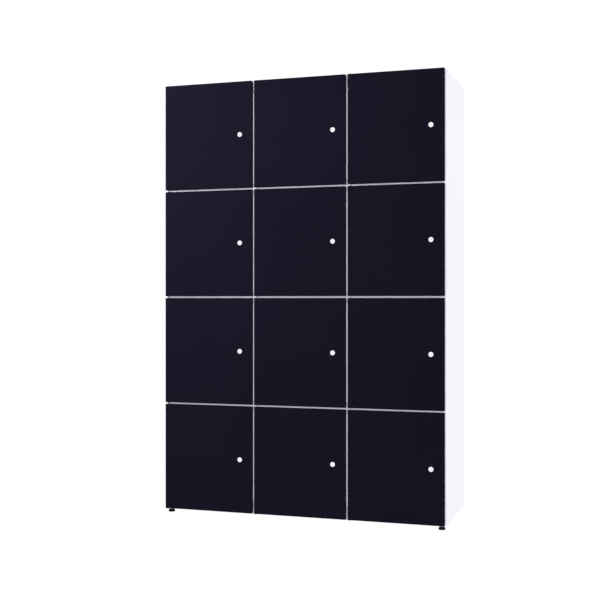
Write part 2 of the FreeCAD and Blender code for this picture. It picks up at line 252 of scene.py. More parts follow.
# ---- Materials -------------------------------------------------------------------------------
def dark_laminate():
    """Satin indigo-black laminate with a fine pearl texture."""
    n = Nodes("dark_laminate")
    cloud = n.noise(n.place, 2.3, 3.0)
    mottle = n.noise(n.place, 160.0, 3.0, 0.6)
    tone = n.math("ADD", n.math("MULTIPLY", cloud, 0.7), n.math("MULTIPLY", mottle, 0.3))
    colour = n.blend(n.span(tone, 0.35, 0.65),
                     rgb(0.0045, 0.0039, 0.0087), rgb(0.0054, 0.0046, 0.0102))
    pearl = n.cells(n.place, 1100.0)
    grain = n.noise(n.place, 2600.0, 2.0)
    relief = n.math("ADD", n.math("MULTIPLY", pearl, 0.7), n.math("MULTIPLY", grain, 0.3))
    n.set(Base_Color=colour, Roughness=n.span(tone, 0.3, 0.7, 0.44, 0.54), Specular_IOR_Level=0.01,
          Normal=n.bump(relief, 0.22, 0.00012))
    return n.material


def dark_edging(name, lift):
    """The doors' edge band: plastic of the same colour, a little smoother; lift makes the band's colour
    lighter on the rounded arris.
    """
    n = Nodes(name)
    streak = n.noise(n.place, 220.0, 3.0, 0.6)
    colour = n.blend(n.span(streak, 0.35, 0.7), rgb(0.0050 * lift, 0.0043 * lift, 0.0095 * lift),
                     rgb(0.0061 * lift, 0.0052 * lift, 0.0115 * lift))
    n.set(Base_Color=colour, Roughness=n.span(streak, 0.3, 0.7, 0.40, 0.50), Specular_IOR_Level=0.0,
          Normal=n.bump(n.noise(n.place, 900.0, 2.0), 0.12, 0.0001))
    return n.material


def white_melamine():
    """Bluish white melamine with orange-peel, and the seam of the edge band just behind the front."""
    n = Nodes("white_melamine")
    cloud = n.noise(n.place, 1.7, 3.0)
    speck = n.noise(n.place, 240.0, 3.0, 0.6)
    colour = n.blend(n.span(cloud, 0.3, 0.7), rgb(0.822, 0.831, 0.895), rgb(0.846, 0.855, 0.917))
    colour = n.blend(n.span(speck, 0.62, 0.8, 0.0, 0.25), colour, rgb(0.78, 0.79, 0.85))
    behind_seam = n.math("SUBTRACT", n.axis(n.place, "Y"), carcass_front + EDGING)
    colour = n.blend(n.math("LESS_THAN", behind_seam, 0.0), colour, rgb(0.86, 0.835, 0.945))
    seam_distance = n.math("ABSOLUTE", behind_seam)
    seam = n.span(seam_distance, 0.00005, 0.00016, 1.0, 0.0)
    colour = n.blend(n.math("MULTIPLY", seam, 0.55), colour, rgb(0.52, 0.53, 0.56))
    peel = n.cells(n.place, 700.0)
    fine = n.noise(n.place, 1900.0, 2.0)
    relief = n.math("ADD", n.math("MULTIPLY", peel, 0.75), n.math("MULTIPLY", fine, 0.25))
    relief = n.math("SUBTRACT", relief, n.math("MULTIPLY", seam, 0.8))
    n.set(Base_Color=colour, Roughness=n.span(speck, 0.3, 0.7, 0.38, 0.47), Specular_IOR_Level=0.4,
          Normal=n.bump(relief, 0.2, 0.00012))
    return n.material


def white_back():
    """White lacquered hardboard of the back panel, a little warmer and rougher than melamine."""
    n = Nodes("white_back")
    fibre = n.noise(n.stretch(n.place, (1.0, 1.0, 0.45)), 380.0, 4.0, 0.65)
    cloud = n.noise(n.place, 1.1, 3.0)
    colour = n.blend(n.span(cloud, 0.3, 0.7), rgb(0.80, 0.805, 0.82), rgb(0.84, 0.845, 0.855))
    colour = n.blend(n.span(fibre, 0.55, 0.8, 0.0, 0.3), colour, rgb(0.73, 0.735, 0.75))
    n.set(Base_Color=colour, Roughness=n.span(fibre, 0.3, 0.7, 0.5, 0.62), Specular_IOR_Level=0.35,
          Normal=n.bump(fibre, 0.25, 0.0002))
    return n.material


def turned_metal(name, tint, low_roughness, high_roughness, ring_scale, strength):
    """Metal turned on a lathe: fine rings that follow the piece's profile, and a few handling marks."""
    n = Nodes(name)
    detail = n.uv()
    rings = n.noise(n.stretch(detail, (6.0, ring_scale, 1.0)), 1.0, 3.0, 0.6)
    marks = n.noise(n.place, 1400.0, 3.0, 0.7)
    shade = n.blend(n.span(marks, 0.45, 0.75, 0.0, 0.35), rgb(*tint), rgb(*(0.92 * part for part in tint)))
    n.set(Base_Color=shade, Metallic=1.0, Roughness=n.span(rings, 0.25, 0.75, low_roughness, high_roughness),
          Normal=n.bump(rings, strength, 0.00005))
    return n.material


def pressed_metal(name, tint, low_roughness, high_roughness):
    """Zinc-plated pressed or cast steel, with faint crystal patches and scuffs."""
    n = Nodes(name)
    patches = n.cells(n.place, 420.0)
    scuffs = n.noise(n.stretch(n.place, (1.0, 1.0, 5.0)), 520.0, 4.0, 0.7)
    shade = n.blend(n.span(patches, 0.1, 0.6), rgb(*tint), rgb(*(0.88 * part for part in tint)))
    shade = n.blend(n.span(scuffs, 0.58, 0.8, 0.0, 0.4), shade, rgb(*(0.7 * part for part in tint)))
    n.set(Base_Color=shade, Metallic=1.0, Roughness=n.span(scuffs, 0.3, 0.7, low_roughness, high_roughness),
          Normal=n.bump(scuffs, 0.15, 0.0001))
    return n.material


def bracket_coating():
    """Light grey powder coating of the hinge brackets: a fine orange-peel over the casting."""
    n = Nodes("bracket_coating")
    cloud = n.noise(n.place, 300.0, 3.0)
    peel = n.cells(n.place, 1300.0)
    colour = n.blend(cloud, rgb(0.58, 0.57, 0.63), rgb(0.64, 0.63, 0.69))
    n.set(Base_Color=colour, Roughness=n.span(cloud, 0.3, 0.7, 0.34, 0.44), Specular_IOR_Level=0.4,
          Normal=n.bump(peel, 0.25, 0.0001))
    return n.material


def black_nylon():
    """Moulded black nylon with a sparked grain."""
    n = Nodes("black_nylon")
    grain = n.cells(n.place, 1500.0)
    cloud = n.noise(n.place, 90.0, 3.0)
    colour = n.blend(n.span(cloud, 0.3, 0.7), rgb(0.0035, 0.0035, 0.0050), rgb(0.0060, 0.0060, 0.0080))
    n.set(Base_Color=colour, Roughness=n.span(cloud, 0.3, 0.7, 0.46, 0.58), Specular_IOR_Level=0.04,
          Normal=n.bump(grain, 0.3, 0.0001))
    return n.material


def clear_buffer():
    """Soft clear polyurethane dots."""
    n = Nodes("clear_buffer")
    cloud = n.noise(n.place, 500.0, 2.0)
    colour = n.blend(cloud, rgb(0.70, 0.72, 0.74), rgb(0.80, 0.81, 0.83))
    n.set(Base_Color=colour, Roughness=n.span(cloud, 0.3, 0.7, 0.18, 0.28),
          Transmission_Weight=0.35, IOR=1.48, Normal=n.bump(cloud, 0.1, 0.0001))
    return n.material


def ivory_nylon():
    """Off-white nylon of the pivot bushes."""
    n = Nodes("ivory_nylon")
    cloud = n.noise(n.place, 400.0, 3.0)
    colour = n.blend(cloud, rgb(0.62, 0.60, 0.54), rgb(0.70, 0.68, 0.62))
    n.set(Base_Color=colour, Roughness=n.span(cloud, 0.3, 0.7, 0.42, 0.52),
          Normal=n.bump(cloud, 0.15, 0.0001))
    return n.material


def keyway_metal():
    """The unpolished inside of the keyways."""
    n = Nodes("keyway_metal")
    grime = n.noise(n.place, 2000.0, 2.0)
    colour = n.blend(grime, rgb(0.72, 0.72, 0.76), rgb(0.84, 0.84, 0.88))
    n.set(Base_Color=colour, Metallic=0.8, Roughness=n.span(grime, 0.3, 0.7, 0.5, 0.65))
    return n.material


LAMINATE = dark_laminate()
EDGE = dark_edging("dark_edging", 1.0)
# The doors' rounded arris takes the same band colour, made 15% lighter.
EDGE_ARRIS = dark_edging("dark_edging_arris", 1.15)
MELAMINE = white_melamine()
BACK_WHITE = white_back()
NICKEL = turned_metal("satin_nickel", (0.95, 0.94, 0.985), 0.24, 0.34, 9000.0, 0.06)
STEEL_TURNED = turned_metal("turned_steel", (0.66, 0.67, 0.69), 0.24, 0.36, 5000.0, 0.15)
ZINC = pressed_metal("zinc_plate", (0.70, 0.715, 0.74), 0.30, 0.44)
WHITE_ZINC = pressed_metal("cast_zinc", (0.76, 0.77, 0.79), 0.34, 0.46)
HEX_STEEL = pressed_metal("hexagon_steel", (0.30, 0.31, 0.34), 0.36, 0.48)
COATING = bracket_coating()
NYLON = black_nylon()
BUFFER = clear_buffer()
IVORY = ivory_nylon()
KEYWAY = keyway_metal()


# ---- Mesh building ---------------------------------------------------------------------------
def fresh():
    mesh = bmesh.new()
    mesh.loops.layers.uv.new("detail")
    return mesh


def add_box(bm, low, high):
    """A plain box, to be bevelled or used as a cutter."""
    made = bmesh.ops.create_cube(bm, size=1.0)["verts"]
    for vert in made:
        vert.co = Vector([low[i] + (vert.co[i] + 0.5) * (high[i] - low[i]) for i in range(3)])
    return made


def bevel_sharp(bm, width, segments=3, least_angle=35.0, material=-1):
    """Round every edge that turns by more than least_angle degrees."""
    least = math.radians(least_angle)
    edges = [e for e in bm.edges if len(e.link_faces) == 2 and e.calc_face_angle(0.0) > least]
    bmesh.ops.bevel(bm, geom=edges, offset=width, segments=segments, profile=0.5,
                    affect="EDGES", clamp_overlap=True, material=material)


def add_prism(bm, corners, depth):
    """A prism over 3-D corners in one plane, along the vector depth."""
    verts = [bm.verts.new(corner) for corner in corners]
    face = bm.faces.new(verts)
    extruded = bmesh.ops.extrude_face_region(bm, geom=[face])["geom"]
    bmesh.ops.translate(bm, vec=depth, verts=[g for g in extruded if isinstance(g, bmesh.types.BMVert)])
    bmesh.ops.recalc_face_normals(bm, faces=bm.faces[:])


def arc(radius, height, size, start, end, steps=4):
    """Points (radius, height) on a rounding of the given size about its centre."""
    turn = [start + (end - start) * i / steps for i in range(steps + 1)]
    return [(radius + size * math.cos(math.radians(a)), height + size * math.sin(math.radians(a)))
            for a in turn]


def add_lathe(bm, profile, centre, axis, segments=48):
    """A profile of (radius, height) points turned about an axis, closed where its radius is 0."""
    axis = Vector(axis)
    side = Vector((1, 0, 0)) if abs(axis.x) < 0.5 else Vector((0, 0, 1))
    other = axis.cross(side)
    uv = bm.loops.layers.uv["detail"]
    rings = []
    travel = [0.0]
    for before, here in zip(profile, profile[1:]):
        travel.append(travel[-1] + math.dist(before, here))
    for radius, height in profile:
        middle = Vector(centre) + axis * height
        if radius < 1e-7:
            rings.append([bm.verts.new(middle)])
            continue
        ring = []
        for step in range(segments):
            angle = 2 * math.pi * step / segments
            ring.append(bm.verts.new(middle + (side * math.cos(angle) + other * math.sin(angle)) * radius))
        rings.append(ring)
    for level in range(len(rings) - 1):
        low, high = rings[level], rings[level + 1]
        if len(low) == 1 and len(high) == 1:
            continue
        for step in range(segments):
            after = (step + 1) % segments
            u0, u1 = step / segments, (step + 1) / segments
            v0, v1 = travel[level], travel[level + 1]
            if len(low) == 1:
                corners = [(low[0], u0, v0), (high[after], u1, v1), (high[step], u0, v1)]
            elif len(high) == 1:
                corners = [(low[step], u0, v0), (low[after], u1, v0), (high[0], u0, v1)]
            else:
                corners = [(low[step], u0, v0), (low[after], u1, v0),
                           (high[after], u1, v1), (high[step], u0, v1)]
            face = bm.faces.new([corner[0] for corner in corners])
            for loop, corner in zip(face.loops, corners):
                loop[uv].uv = (corner[1], corner[2])
    bmesh.ops.recalc_face_normals(bm, faces=bm.faces[:])


def mesh_of(bm, name, materials, smooth_angle=None):
    """A mesh from a bmesh, smooth but for edges that turn by more than smooth_angle degrees."""
    if smooth_angle is not None:
        for face in bm.faces:
            face.smooth = True
        for edge in bm.edges:
            edge.smooth = edge.calc_face_angle(0.0) < math.radians(smooth_angle)
    mesh = bpy.data.meshes.new(name)
    bm.to_mesh(mesh)
    bm.free()
    for material in materials:
        mesh.materials.append(material)
    return mesh


def carved(mesh, cutters):
    """The mesh less the cutter meshes."""
    target = bpy.data.objects.new("carving", mesh)
    bpy.context.scene.collection.objects.link(target)
    tools = []
    for cutter in cutters:
        tool = bpy.data.objects.new("tool", cutter)
        bpy.context.scene.collection.objects.link(tool)
        tools.append(tool)
        modifier = target.modifiers.new("cut", "BOOLEAN")
        modifier.operation = "DIFFERENCE"
        modifier.solver = "EXACT"
        modifier.use_self = True
        modifier.object = tool
    bpy.context.view_layer.update()
    result = bpy.data.meshes.new_from_object(target.evaluated_get(bpy.context.evaluated_depsgraph_get()))
    result.name = mesh.name
    for thing in tools + [target]:
        bpy.data.objects.remove(thing)
    return result


def cutter_rod(radius, start, axis, length, segments=48):
    bm = fresh()
    add_lathe(bm, [(0, 0), (radius, 0), (radius, length), (0, length)], start, axis, segments)
    return mesh_of(bm, "cutter", [])


def cutter_box(low, high):
    bm = fresh()
    add_box(bm, low, high)
    return mesh_of(bm, "cutter", [])


def place(name, template, offset, body, replaces=()):
    """A copy of a template mesh, moved to its place in the row frame and riding on a body."""
    mesh = template.copy()
    mesh.name = name
    mesh.transform(Matrix.Translation(offset))
    piece = bpy.data.objects.new(name, mesh)
    bpy.context.scene.collection.objects.link(piece)
    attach(piece, body)
    if replaces:
        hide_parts(*replaces)
    return piece


def place_group(name, template, offsets, body, replaces=()):
    """One piece that holds many copies of a template."""
    bm = bmesh.new()
    for offset in offsets:
        copy = template.copy()
        copy.transform(offset if isinstance(offset, Matrix) else Matrix.Translation(offset))
        bm.from_mesh(copy)
        bpy.data.meshes.remove(copy)
    mesh = bpy.data.meshes.new(name)
    bm.to_mesh(mesh)
    bm.free()
    for material in template.materials:
        mesh.materials.append(material)
    return place(name, mesh, Vector((0, 0, 0)), body, replaces)


RIGHTWARD = (1, 0, 0)
BACKWARD = (0, 1, 0)
UPWARD = (0, 0, 1)
ORIGIN = (0, 0, 0)


# ---- Doors -----------------------------------------------------------------------------------
def door_templates():
    """The leaf and its edge band, about the lower front left corner of the door, with their bores."""
    size = door_high - door_low
    lock = JOINT_AT["door_a1_lock_turn"] - door_low
    pin = JOINT_AT["door_a1_hinge"] - door_low
    bores = [cutter_rod(BARREL_RADIUS, (lock.x, -MM, lock.z), BACKWARD, size.y + 2 * MM),
             cutter_rod(BUSH_RADIUS, (pin.x, pin.y, -MM), UPWARD, BUSH_LENGTH + MM),
             cutter_rod(BUSH_RADIUS, (pin.x, pin.y, size.z - BUSH_LENGTH), UPWARD, BUSH_LENGTH + MM)]

    leaf = fresh()
    add_box(leaf, (EDGING, 0, EDGING), (size.x - EDGING, size.y, size.z - EDGING))
    bevel_sharp(leaf, PANEL_ARRIS, 1)
    leaf = carved(mesh_of(leaf, "leaf", [LAMINATE]), bores)

    band = fresh()
    add_box(band, (0, 0, 0), size)
    bevel_sharp(band, DOOR_ARRIS, 4, material=1)
    inside = cutter_box((EDGING, -MM, EDGING), (size.x - EDGING, size.y + MM, size.z - EDGING))
    band = carved(mesh_of(band, "band", [EDGE, EDGE_ARRIS]), [inside] + bores[1:])
    return leaf, band


def bush_template():
    """A plain bush, mouth down at the origin, with a lead-in to its blind hole."""
    hole = PIN_RADIUS + BORE_CLEARANCE
    hole_end = PIN_IN_DOOR + 0.6 * MM
    profile = [(0, hole_end), (hole, hole_end), (hole, 0.5 * MM), (hole + 0.5 * MM, 0),
               (BUSH_RADIUS - 0.3 * MM, 0), (BUSH_RADIUS, 0.3 * MM), (BUSH_RADIUS, BUSH_LENGTH),
               (0, BUSH_LENGTH)]
    bm = fresh()
    add_lathe(bm, profile, ORIGIN, UPWARD)
    return mesh_of(bm, "bush", [IVORY], 30)


# ---- Locks -----------------------------------------------------------------------------------
def barrel_template():
    """The flange and threaded barrel: y = 0 at the door's front, the axis through the origin."""
    face = -FLANGE_PROUD
    bore = PLUG_RADIUS + BORE_CLEARANCE
    profile = [(bore, BARREL_END), (bore, face + 0.25 * MM), (bore + 0.25 * MM, face),
               (bore + 0.6 * MM, face), (FLANGE_RADIUS - 1.6 * MM, face), (FLANGE_RADIUS - 1.2 * MM, face)]
    profile += arc(FLANGE_RADIUS - FLANGE_ROUND, face + FLANGE_ROUND, FLANGE_ROUND, -90, 0, 8)
    profile += [(FLANGE_RADIUS, -0.25 * MM), (FLANGE_RADIUS - 0.2 * MM, 0), (BARREL_RADIUS, 0)]
    root = BARREL_RADIUS - 0.5 * MM
    height = 1.0 * MM
    while height < BARREL_END - THREAD_PITCH:
        profile += [(BARREL_RADIUS, height), (root, height + THREAD_PITCH / 2)]
        height += THREAD_PITCH
    profile += [(BARREL_RADIUS, height), (root, BARREL_END), (bore, BARREL_END)]
    bm = fresh()
    add_lathe(bm, profile, ORIGIN, BACKWARD, 64)
    bmesh.ops.remove_doubles(bm, verts=bm.verts[:], dist=1e-7)
    bmesh.ops.recalc_face_normals(bm, faces=bm.faces[:])
    return mesh_of(bm, "barrel", [NICKEL], 24)


def nut_template():
    """The hexagonal nut behind the door, chamfered, with y = 0 at the door's back."""
    corner = NUT_ACROSS_FLATS / math.sqrt(3)
    hexagon = [(corner * math.cos(math.radians(60 * k)), 0, corner * math.sin(math.radians(60 * k)))
               for k in range(6)]
    bm = fresh()
    add_prism(bm, hexagon, Vector((0, NUT_THICKNESS, 0)))
    nut = mesh_of(bm, "nut", [ZINC])
    chamfer = fresh()
    wide = corner + 3 * MM
    rise = 0.9 * MM
    slim = NUT_ACROSS_FLATS / 2
    add_lathe(chamfer, [(slim, NUT_THICKNESS + MM), (slim, NUT_THICKNESS), (corner, NUT_THICKNESS - rise),
                        (wide, NUT_THICKNESS - rise), (wide, NUT_THICKNESS + MM), (slim, NUT_THICKNESS + MM)],
              ORIGIN, BACKWARD)
    bmesh.ops.remove_doubles(chamfer, verts=chamfer.verts[:], dist=1e-7)
    bmesh.ops.recalc_face_normals(chamfer, faces=chamfer.faces[:])
    bore = cutter_rod(BARREL_RADIUS, (0, -MM, 0), BACKWARD, NUT_THICKNESS + 2 * MM)
    return carved(nut, [mesh_of(chamfer, "cutter", []), bore])


def plug_template():
    """The key plug with its keyway, and the square tenon behind; y = 0 at the door's front."""
    face = -FLANGE_PROUD + PLUG_RECESS
    end = BARREL_END + CAM_GAP
    bm = fresh()
    profile = [(0, face), (PLUG_RADIUS - 0.7 * MM, face), (PLUG_RADIUS - 0.3 * MM, face),
               (PLUG_RADIUS, face + 0.3 * MM), (PLUG_RADIUS, end), (0, end)]
    add_lathe(bm, profile, ORIGIN, BACKWARD, 64)
    body = mesh_of(bm, "plug", [NICKEL, KEYWAY], 30)
    keyway = fresh()
    outline = [(x * MM, face - MM, z * MM) for x, z in KEYWAY_OUTLINE]
    add_prism(keyway, outline, Vector((0, KEYWAY_DEPTH + MM, 0)))
    cutter = mesh_of(keyway, "keyway", [NICKEL, KEYWAY])
    for polygon in cutter.polygons:
        polygon.material_index = 1
    return carved(body, [cutter])


def tenon_template():
    """The square tenon that drives the cam."""
    start = BARREL_END + CAM_GAP
    bm = fresh()
    add_box(bm, (-TENON_HALF, start, -TENON_HALF), (TENON_HALF, start + CAM_THICKNESS, TENON_HALF))
    return mesh_of(bm, "tenon", [STEEL_TURNED])


def cam_template():
    """The flat cam, hanging down from the plug, with rounded ends and a square hole."""
    bm = fresh()
    outline = []
    hub = CAM_HALF_WIDTH + MM
    tip = -CAM_REACH + CAM_HALF_WIDTH
    waist = math.degrees(math.acos(CAM_HALF_WIDTH / hub))
    for step in range(17):
        angle = math.radians(-waist + (180 + 2 * waist) * step / 16)
        outline.append((hub * math.cos(angle), 0, hub * math.sin(angle)))
    for step in range(13):
        angle = math.radians(180 + 180 * step / 12)
        outline.append((CAM_HALF_WIDTH * math.cos(angle), 0, tip + CAM_HALF_WIDTH * math.sin(angle)))
    add_prism(bm, outline, Vector((0, CAM_THICKNESS, 0)))
    bevel_sharp(bm, 0.25 * MM, 2, 60)
    cam = mesh_of(bm, "cam", [ZINC])
    hole = cutter_box((-TENON_HALF, -MM, -TENON_HALF), (TENON_HALF, CAM_THICKNESS + MM, TENON_HALF))
    return carved(cam, [hole])


def cross_recess(reach, depth, y):
    """A tapering cross, as a cutter, that opens towards -Y at y."""
    bm = fresh()
    slim = reach * 0.28
    for across in (Vector((1, 0, 0)), Vector((0, 0, 1))):
        other = Vector((across.z, 0, across.x))
        corners = []
        for along, wide in ((-1, -1), (1, -1), (1, 1), (-1, 1)):
            corners.append(across * along * reach + other * wide * slim / 2 + Vector((0, y - 0.2 * MM, 0)))
        tops = [bm.verts.new(corner) for corner in corners]
        lows = [bm.verts.new((c.x * 0.62, y + depth, c.z * 0.62)) for c in corners]
        bm.faces.new(tops)
        bm.faces.new(lows[::-1])
        for k in range(4):
            bm.faces.new([tops[k], lows[k], lows[(k + 1) % 4], tops[(k + 1) % 4]])
    bmesh.ops.recalc_face_normals(bm, faces=bm.faces[:])
    return mesh_of(bm, "cutter", [])


def cam_screw_template():
    """A washer-head screw seen from inside, with its head at +Y; y = 0 at the back of the cam."""
    profile = [(0, -6 * MM), (2 * MM, -6 * MM), (2 * MM, 0), (5 * MM, 0), (5 * MM, 0.7 * MM),
               (4.7 * MM, MM), (3.9 * MM, MM)]
    profile += arc(3.0 * MM, 2.0 * MM, 1.0 * MM, 0, 90, 5)
    profile += [(2.6 * MM, 3 * MM), (0, 3 * MM)]
    bm = fresh()
    add_lathe(bm, profile, ORIGIN, BACKWARD, 40)
    screw = mesh_of(bm, "cam_screw", [STEEL_TURNED], 30)
    recess = cross_recess(2.3 * MM, 1.6 * MM, 0)
    recess.transform(Matrix.Translation((0, 3 * MM, 0)) @ Matrix.Rotation(math.pi, 4, "Z"))
    return carved(screw, [recess])


# ---- Screws ----------------------------------------------------------------------------------
def countersunk_template(length):
    """A countersunk screw that points to +Y from its flush head at the origin, with a cross recess."""
    shank = SCREW_SHANK_RADIUS
    profile = [(0, 0.02 * MM), (SCREW_HEAD_RADIUS - 0.15 * MM, 0.02 * MM), (SCREW_HEAD_RADIUS, 0.2 * MM),
               (shank * 0.8, SCREW_HEAD)]
    height = SCREW_HEAD
    while height < length - 3 * MM:
        profile += [(shank * 0.72, height + 0.4 * MM), (shank, height + 0.9 * MM)]
        height += 1.4 * MM
    profile += [(shank * 0.6, height + 0.6 * MM), (0, length)]
    bm = fresh()
    add_lathe(bm, profile, ORIGIN, BACKWARD, 28)
    return carved(mesh_of(bm, "screw", [ZINC], 35), [cross_recess(1.9 * MM, 1.3 * MM, 0)])


def screw_sink(mouth, axis):
    """A cutter for a countersunk hole that opens at mouth and goes along axis."""
    bm = fresh()
    add_lathe(bm, [(0, -MM), (SCREW_HEAD_RADIUS + MM, -MM), (SCREW_HEAD_RADIUS + 0.1 * MM, -0.02 * MM),
                   (SCREW_SHANK_RADIUS, SCREW_HEAD), (SCREW_SHANK_RADIUS, 4 * MM), (0, 4 * MM)],
              mouth, axis, 40)
    return mesh_of(bm, "cutter", [])


# ---- Pivot brackets --------------------------------------------------------------------------
def bracket_template(offset, plate_low, plate_high, tongue_low, screw_heights):
    """A cast pivot bracket about its plate's middle line, with y = 0 at the carcass front."""
    pin_y = JOINT_AT["door_a1_hinge"].y - carcass_front
    half = PLATE_WIDTH / 2
    plate = fresh()
    add_box(plate, (-half, 0, plate_low), (half, PLATE_THICKNESS, plate_high))
    uprights = [e for e in plate.edges if abs((e.verts[0].co - e.verts[1].co).y) > MM]
    bmesh.ops.bevel(plate, geom=uprights, offset=2.0 * MM, segments=5, profile=0.5, affect="EDGES")
    front = [e for e in plate.edges if all(v.co.y < 1e-6 for v in e.verts)]
    bmesh.ops.bevel(plate, geom=front, offset=0.25 * MM, segments=2, profile=0.5, affect="EDGES")
    sinks = []
    for height in screw_heights:
        sinks.append(screw_sink((0, 0, height), BACKWARD))
    plate = carved(mesh_of(plate, "plate", [COATING]), sinks)

    tongue = fresh()
    outline = [Vector((-half + MM, 0.3 * MM, tongue_low)), Vector((-half + MM, -0.6 * MM, tongue_low))]
    for step in range(13):
        angle = math.radians(215 + 145 * step / 12)
        outline.append(Vector((offset + TONGUE_RADIUS * math.cos(angle),
                               pin_y + TONGUE_RADIUS * math.sin(angle), tongue_low)))
    outline.append(Vector((offset + TONGUE_RADIUS, 0, tongue_low)))
    outline.append(Vector((half - MM, 0.3 * MM, tongue_low)))
    add_prism(tongue, outline, Vector((0, 0, TONGUE)))
    bevel_sharp(tongue, 0.3 * MM, 2, 50)
    tongue = mesh_of(tongue, "tongue", [COATING])

    bm = bmesh.new()
    bm.from_mesh(plate)
    bm.from_mesh(tongue)
    return mesh_of(bm, "bracket", [COATING])


def pin_template(low, high):
    """A hinge pin with a chamfered end each way, about its own axis."""
    ease = 0.5 * MM
    profile = [(0, low), (PIN_RADIUS - ease, low), (PIN_RADIUS, low + ease), (PIN_RADIUS, high - ease),
               (PIN_RADIUS - ease, high), (0, high)]
    bm = fresh()
    add_lathe(bm, profile, ORIGIN, UPWARD, 32)
    return mesh_of(bm, "pin", [STEEL_TURNED], 30)


# ---- Keepers ---------------------------------------------------------------------------------
lip_front = cam_front - CAM_CLEARANCE - KEEPER_SHEET
keeper_screw_y = lip_front + KEEPER_DEPTH / 2 + 2 * MM


def keeper_template(reach):
    """A folded angle: a plate against the upright at x = 0 and a lip that reaches to x = -reach."""
    half = KEEPER_HEIGHT / 2
    sheet = KEEPER_SHEET
    bend = 1.2 * MM
    outline = [Vector((0, lip_front + KEEPER_DEPTH, -half)),
               Vector((-sheet, lip_front + KEEPER_DEPTH, -half)),
               Vector((-sheet, lip_front + sheet, -half)), Vector((-reach, lip_front + sheet, -half)),
               Vector((-reach, lip_front, -half))]
    for step in range(6):
        angle = math.radians(-90 + 90 * step / 5)
        outline.append(Vector((-bend + bend * math.cos(angle),
                               lip_front + bend + bend * math.sin(angle), -half)))
    bm = fresh()
    add_prism(bm, outline, Vector((0, 0, KEEPER_HEIGHT)))
    bevel_sharp(bm, 0.3 * MM, 2, 60)
    plate = mesh_of(bm, "keeper", [ZINC])
    sinks = []
    for side in (-1, 1):
        sinks.append(screw_sink((-sheet, keeper_screw_y, side * KEEPER_SCREW), RIGHTWARD))
    return carved(plate, sinks)


# ---- Board connectors, inserts and buffers ---------------------------------------------------
def disc_template():
    """A cast connector disc about its open face, which looks to -Z, with a cross recess and a rim."""
    profile = [(0, 0.35 * MM), (DISC_RADIUS - 1.3 * MM, 0.35 * MM), (DISC_RADIUS - 1.0 * MM, 0.0),
               (DISC_RADIUS - 0.2 * MM, 0.0), (DISC_RADIUS, 0.2 * MM), (DISC_RADIUS, DISC_HEIGHT),
               (0, DISC_HEIGHT)]
    bm = fresh()
    add_lathe(bm, profile, ORIGIN, UPWARD, 40)
    disc = mesh_of(bm, "disc", [WHITE_ZINC], 30)
    recess = cross_recess(3.4 * MM, 3.0 * MM, 0.35 * MM)
    recess.transform(Matrix.Rotation(math.pi / 2, 4, "X"))
    return carved(disc, [recess])


def bolt_template():
    """The bolt that the disc draws in, along +X from the disc's centre: a neck and a threaded shank."""
    neck = 2.2 * MM
    start = DISC_RADIUS - 5 * MM
    free = DISC_RADIUS + 2.5 * MM
    end = DISC_INSET + CONNECTOR_REACH
    profile = [(0, start), (neck + 0.6 * MM, start), (neck + 0.6 * MM, start + 1.5 * MM),
               (neck, start + 2.2 * MM),
               (neck, free), (BOLT_RADIUS, free + 0.6 * MM), (BOLT_RADIUS, DISC_INSET)]
    height = DISC_INSET
    while height < end - 1.5 * MM:
        profile += [(BOLT_RADIUS * 0.8, height + 0.6 * MM), (BOLT_RADIUS, height + 1.2 * MM)]
        height += 1.2 * MM
    profile += [(BOLT_RADIUS * 0.7, end), (0, end)]
    bm = fresh()
    add_lathe(bm, profile, ORIGIN, RIGHTWARD, 24)
    return mesh_of(bm, "bolt", [STEEL_TURNED], 35)


def insert_template():
    """A threaded sleeve for a levelling foot, mouth down at the origin."""
    inner = STEM_RADIUS + BORE_CLEARANCE
    profile = [(inner, INSERT_LENGTH), (inner, 0.6 * MM), (inner + 0.6 * MM, 0.0), (INSERT_RADIUS, 0.0)]
    height = 1.0 * MM
    while height < INSERT_LENGTH - 1.5 * MM:
        profile += [(INSERT_RADIUS - 0.05 * MM, height), (INSERT_RADIUS - 0.6 * MM, height + 0.9 * MM)]
        height += 1.8 * MM
    profile += [(INSERT_RADIUS - 0.2 * MM, INSERT_LENGTH), (inner, INSERT_LENGTH)]
    bm = fresh()
    add_lathe(bm, profile, ORIGIN, UPWARD, 32)
    bmesh.ops.remove_doubles(bm, verts=bm.verts[:], dist=1e-7)
    bmesh.ops.recalc_face_normals(bm, faces=bm.faces[:])
    return mesh_of(bm, "insert", [STEEL_TURNED], 35)


def buffer_template():
    """A soft domed dot that stands on the carcass front and points to -Y."""
    profile = [(0, -BUFFER_HEIGHT), (BUFFER_RADIUS * 0.35, -BUFFER_HEIGHT + 0.03 * MM),
               (BUFFER_RADIUS * 0.68, -BUFFER_HEIGHT + 0.22 * MM),
               (BUFFER_RADIUS * 0.9, -BUFFER_HEIGHT + 0.62 * MM),
               (BUFFER_RADIUS, -BUFFER_HEIGHT + 1.2 * MM), (BUFFER_RADIUS, 0), (0, 0)]
    bm = fresh()
    add_lathe(bm, profile, ORIGIN, BACKWARD, 32)
    return mesh_of(bm, "buffer", [BUFFER], 50)


